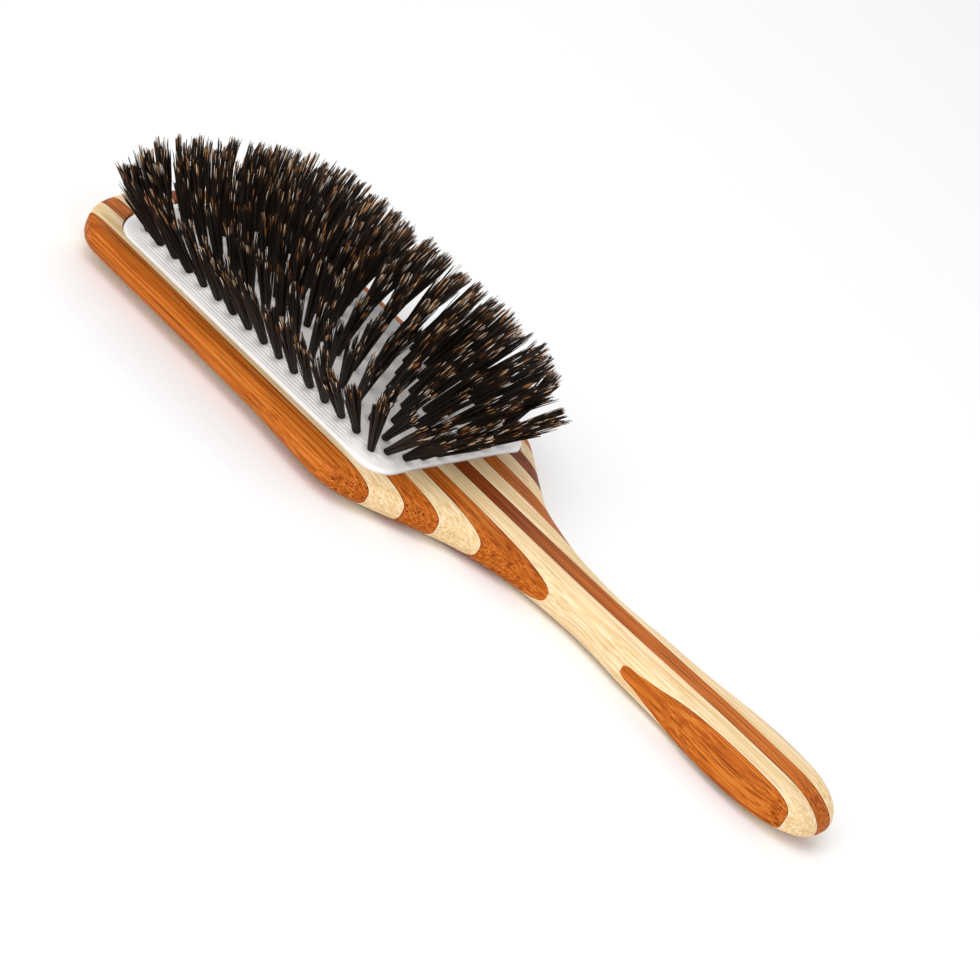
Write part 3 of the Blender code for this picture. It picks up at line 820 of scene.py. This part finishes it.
# ---------------------------------------------------------------- bristle
def bristle():
    """Dark natural bristle: near-black stems, some with amber and some with pale ends,
    partly the real split ends and partly painted highlight.
    """
    mat, tree, shader = new_tree("bristle")
    hair = add(tree, "ShaderNodeAttribute", attribute_name="hair")
    parts = add(tree, "ShaderNodeSeparateColor", {0: hair.outputs["Color"]})
    along, pick, other = (parts.outputs[i] for i in range(3))
    stem = mix(tree, other, (0.012, 0.008, 0.006, 1), (0.034, 0.021, 0.014, 1))
    # Light hair ends: partly the lighter split ends of natural bristle, partly a painted
    # highlight on the tips.
    amber_end_and_highlight = mix(tree, span(tree, other, 0.3, 0.7), (0.16, 0.05, 0.014, 1),
                    (0.66, 0.27, 0.07, 1))
    pale_end_and_highlight = mix(tree, span(tree, other, 0.3, 0.7), (0.80, 0.55, 0.32, 1),
                   (0.96, 0.90, 0.82, 1))
    end = mix(tree, span(tree, pick, 0.885, 0.90), amber_end_and_highlight, pale_end_and_highlight)
    reach = maths(tree, "MULTIPLY", span(tree, along, 0.84, 0.93),
                  span(tree, pick, 0.76, 0.78))
    tree.links.new(mix(tree, reach, stem, end), shader.inputs["Base Color"])
    tree.links.new(span(tree, other, 0.0, 1.0, 0.42, 0.60), shader.inputs["Roughness"])
    shader.inputs["Specular IOR Level"].default_value = 0.18
    return mat


def steel():
    mat, tree, shader = new_tree("drawn_wire")
    place = millimetres(tree)
    drawn = noise(tree, stretched(tree, place, (0.2, 3.0, 3.0)), 2.0)
    tree.links.new(mix(tree, drawn, (0.42, 0.41, 0.40, 1), (0.62, 0.61, 0.60, 1)),
                   shader.inputs["Base Color"])
    tree.links.new(span(tree, drawn, 0.3, 0.7, 0.28, 0.42), shader.inputs["Roughness"])
    shader.inputs["Metallic"].default_value = 1.0
    return mat


def tuft_hairs(x, y, rng):
    """Points and hair tones of one tuft: rings of three points along every hair."""
    foot, way = tuft_axis(x, y)
    way = (way + Vector(rng.normal(0, TUFT_TILT, 3))).normalized()
    side = way.cross(Vector((1, 0, 0))).normalized()
    frame_axes = np.array([side, way.cross(side)], float)
    way = np.array(way)
    foot = np.array(foot) + np.append(rng.normal(0, FOOT_SCATTER, 2), 0.0)

    spiral = np.arange(HAIRS) + 0.5
    turn = spiral * (math.pi * (3 - math.sqrt(5))) + rng.uniform(0, 2 * math.pi)
    out = np.sqrt(spiral / HAIRS)
    disc = np.stack([out * np.cos(turn), out * np.sin(turn)], -1)
    root = disc * ROOT_RADIUS
    # The hairs part into a few pointed locks of unequal length.
    lock_at = disc[rng.permutation(HAIRS)[:LOCKS]] + rng.normal(0, 0.12, (LOCKS, 2))
    lock = np.argmin(np.linalg.norm(disc[:, None] - lock_at[None], axis=-1), axis=1)
    spread = TIP_RADIUS * rng.uniform(0.80, 1.20)
    tip = (((1 - LOCK_PULL) * disc + LOCK_PULL * lock_at[lock]) * spread
           + rng.normal(0, TIP_SCATTER, (HAIRS, 2)))
    lock_length = 1 - 0.18 * rng.random(LOCKS) ** 1.3
    length = tuft_length(x) * (lock_length[lock] - 0.07 * rng.random(HAIRS))
    broken = rng.random(HAIRS) < BROKEN_HAIRS
    length = np.where(broken, length * rng.uniform(0.74, 0.92, HAIRS), length)
    sway = rng.normal(0, SWAY, (HAIRS, 2))

    steps = np.array([-ROOT_DEPTH / TUFT_LENGTH, 0.0, 0.25, 0.55, 0.82, 0.94, 1.0])
    widths = np.array([1.0, 1.0, 1.0, 0.96, 0.86, 0.70, 0.38]) * HAIR_RADIUS
    t = steps[None, :, None]
    lift = np.clip(t, 0, 1)
    away = lift ** 1.15
    flat = root[:, None] * (1 - away) + tip[:, None] * away + sway[:, None] * np.sin(
        math.pi * lift)
    centre = (foot + way * (length[:, None, None] * t)
              + flat[..., :1] * frame_axes[0] + flat[..., 1:] * frame_axes[1])
    spin = rng.uniform(0, 2 * math.pi, HAIRS)[:, None] + np.arange(3) * 2 * math.pi / 3
    girth = (widths[None, :] * rng.uniform(0.8, 1.15, HAIRS)[:, None])[..., None, None]
    round_way = (np.cos(spin)[..., None] * frame_axes[0]
                 + np.sin(spin)[..., None] * frame_axes[1])[:, None]
    points = centre[:, :, None] + round_way * girth
    tone = np.ones((HAIRS, len(steps), 3, 4))
    tone[..., 0] = np.clip(steps, 0, 1)[None, :, None]
    tone[..., 1] = rng.random(HAIRS)[:, None, None]
    tone[..., 2] = rng.random(HAIRS)[:, None, None]
    return points, tone


def wire_verts(row):
    """Drawn wire under one row: a flat strip through the roots of its tufts."""
    path = []
    for x, y in row:
        foot, way = tuft_axis(x, y)
        path.append(foot - way * (ROOT_DEPTH / way.z))
    path.insert(0, path[0] + (path[0] - path[1]).normalized() * WIRE_PAST)
    path.append(path[-1] + (path[-1] - path[-2]).normalized() * WIRE_PAST)
    verts = []
    for k, p in enumerate(path):
        way = (path[min(k + 1, len(path) - 1)] - path[max(k - 1, 0)]).normalized()
        side = way.cross(Vector((0, 0, 1))).normalized() * WIRE_WIDE / 2
        up = side.cross(way).normalized() * WIRE_HIGH / 2
        verts += [tuple(p + a * side + b * up)
                  for a, b in ((-1, -1), (1, -1), (1, 1), (-1, 1))]
    return verts


def make_row(name, row, seed, hair_mat, wire_mat):
    """One row of tufts with the wire that holds it."""
    rng = np.random.default_rng(seed)
    tufts = [tuft_hairs(x, y, rng) for x, y in row]
    points = np.concatenate([p for p, _ in tufts])
    tones = np.concatenate([t for _, t in tufts])
    hairs, rings = points.shape[:2]
    first = (np.arange(hairs) * rings * 3)[:, None, None]
    ring = (np.arange(rings - 1) * 3)[None, :, None]
    k = np.arange(3)[None, None, :]
    m = (k + 1) % 3
    quads = np.stack(np.broadcast_arrays(first + ring + k, first + ring + m,
                                         first + ring + 3 + m, first + ring + 3 + k), -1)
    caps = np.concatenate([first[:, 0] + [0, 2, 1],
                           first[:, 0] + (rings - 1) * 3 + [0, 1, 2]])
    verts = points.reshape(-1, 3).tolist()
    faces = quads.reshape(-1, 4).tolist() + caps.tolist()
    hair_faces = len(faces)
    start = len(verts)
    verts += wire_verts(row)
    for r in range(start, len(verts) - 4, 4):
        faces += [[r + j, r + (j + 1) % 4, r + 4 + (j + 1) % 4, r + 4 + j] for j in range(4)]
    faces += [[start + 3, start + 2, start + 1, start],
              [len(verts) - 4, len(verts) - 3, len(verts) - 2, len(verts) - 1]]
    mesh = mesh_from(name, verts, faces)
    tone = np.ones((len(verts), 4), np.float32)
    tone[:start] = tones.reshape(-1, 4)
    mesh.attributes.new("hair", "FLOAT_COLOR", "POINT").data.foreach_set(
        "color", tone.ravel())
    mesh.materials.append(hair_mat)
    mesh.materials.append(wire_mat)
    index = np.zeros(len(faces), np.int32)
    index[hair_faces:] = 1
    mesh.polygons.foreach_set("material_index", index)
    mesh.shade_smooth()
    mesh.set_sharp_from_angle(angle=math.radians(75))
    body = "cushion_crown" if "inner" in name else "handle"
    return object_from(name.replace("tufts", "bristle"), mesh, body, [name])


def make_bristle(rows):
    hair_mat, wire_mat = bristle(), steel()
    for seed, (name, row) in enumerate(rows):
        make_row(name, row, seed + 11, hair_mat, wire_mat)


# ---------------------------------------------------------------- studio
def make_floor():
    half = 4.0
    mesh = mesh_from("floor", [(-half, -half, 0), (half, -half, 0), (half, half, 0),
                               (-half, half, 0)], [(0, 1, 2, 3)])
    floor = bpy.data.objects.new("floor", mesh)
    floor.location.z = -0.1 * MM
    mat, tree, shader = new_tree("floor_paper")
    place = add(tree, "ShaderNodeTexCoord").outputs["Object"]
    cloud = add(tree, "ShaderNodeTexNoise", {"Vector": place, "Scale": 2.0}).outputs["Fac"]
    tree.links.new(mix(tree, cloud, (0.93, 0.93, 0.93, 1), (0.95, 0.95, 0.95, 1)),
                   shader.inputs["Base Color"])
    shader.inputs["Roughness"].default_value = 0.9
    shader.inputs["Specular IOR Level"].default_value = 0.1
    mesh.materials.append(mat)
    bpy.context.scene.collection.objects.link(floor)


def area_light(name, place, aim, size, power):
    light = bpy.data.lights.new(name, "AREA")
    light.shape = "DISK"
    light.size = size
    light.energy = power
    ob = bpy.data.objects.new(name, light)
    ob.location = place
    ob.rotation_mode = "QUATERNION"
    ob.rotation_quaternion = (Vector(aim) - Vector(place)).to_track_quat("-Z", "Y")
    bpy.context.scene.collection.objects.link(ob)


def make_lights():
    world = bpy.data.worlds.new("studio")
    world.use_nodes = True
    back = world.node_tree.nodes["Background"]
    back.inputs["Color"].default_value = (1.0, 1.0, 1.0, 1)
    back.inputs["Strength"].default_value = 0.74
    bpy.context.scene.world = world
    aim = (0.0, 0.0, 0.01)
    area_light("key", (-0.10, -0.45, 0.85), aim, 0.7, 2.6)
    area_light("back", (-0.45, 0.75, 0.75), aim, 0.8, 1.2)
    area_light("front", (-0.40, -1.05, 0.50), aim, 0.8, 4.2)
    area_light("side", (0.80, -0.45, 0.50), aim, 0.6, 1.8)
    bpy.context.scene.view_settings.view_transform = "Standard"
    bpy.context.scene.view_settings.look = "None"


CAMERA_PLACE = Vector((0.23794, -0.45885, 0.27119))
CAMERA_AIM = Vector((0.00741, -0.00185, 0.01200))
CAMERA_ROLL = 30.36          # degrees, clockwise
CAMERA_LENS = 88.17          # on the standard 36 mm sensor


def make_camera():
    data = bpy.data.cameras.new("camera")
    data.lens = CAMERA_LENS
    data.clip_start, data.clip_end = 0.01, 50.0
    ob = bpy.data.objects.new("camera", data)
    look = CAMERA_AIM - CAMERA_PLACE
    roll = Quaternion(look.normalized(), math.radians(-CAMERA_ROLL))
    ob.location = CAMERA_PLACE
    ob.rotation_mode = "QUATERNION"
    ob.rotation_quaternion = roll @ look.to_track_quat("-Z", "Y")
    bpy.context.scene.collection.objects.link(ob)
    bpy.context.scene.camera = ob


rows = tuft_rows()
make_wood()
make_pad(rows)
make_bristle(rows)
make_floor()
make_lights()
make_camera()

bpy.context.view_layer.update()
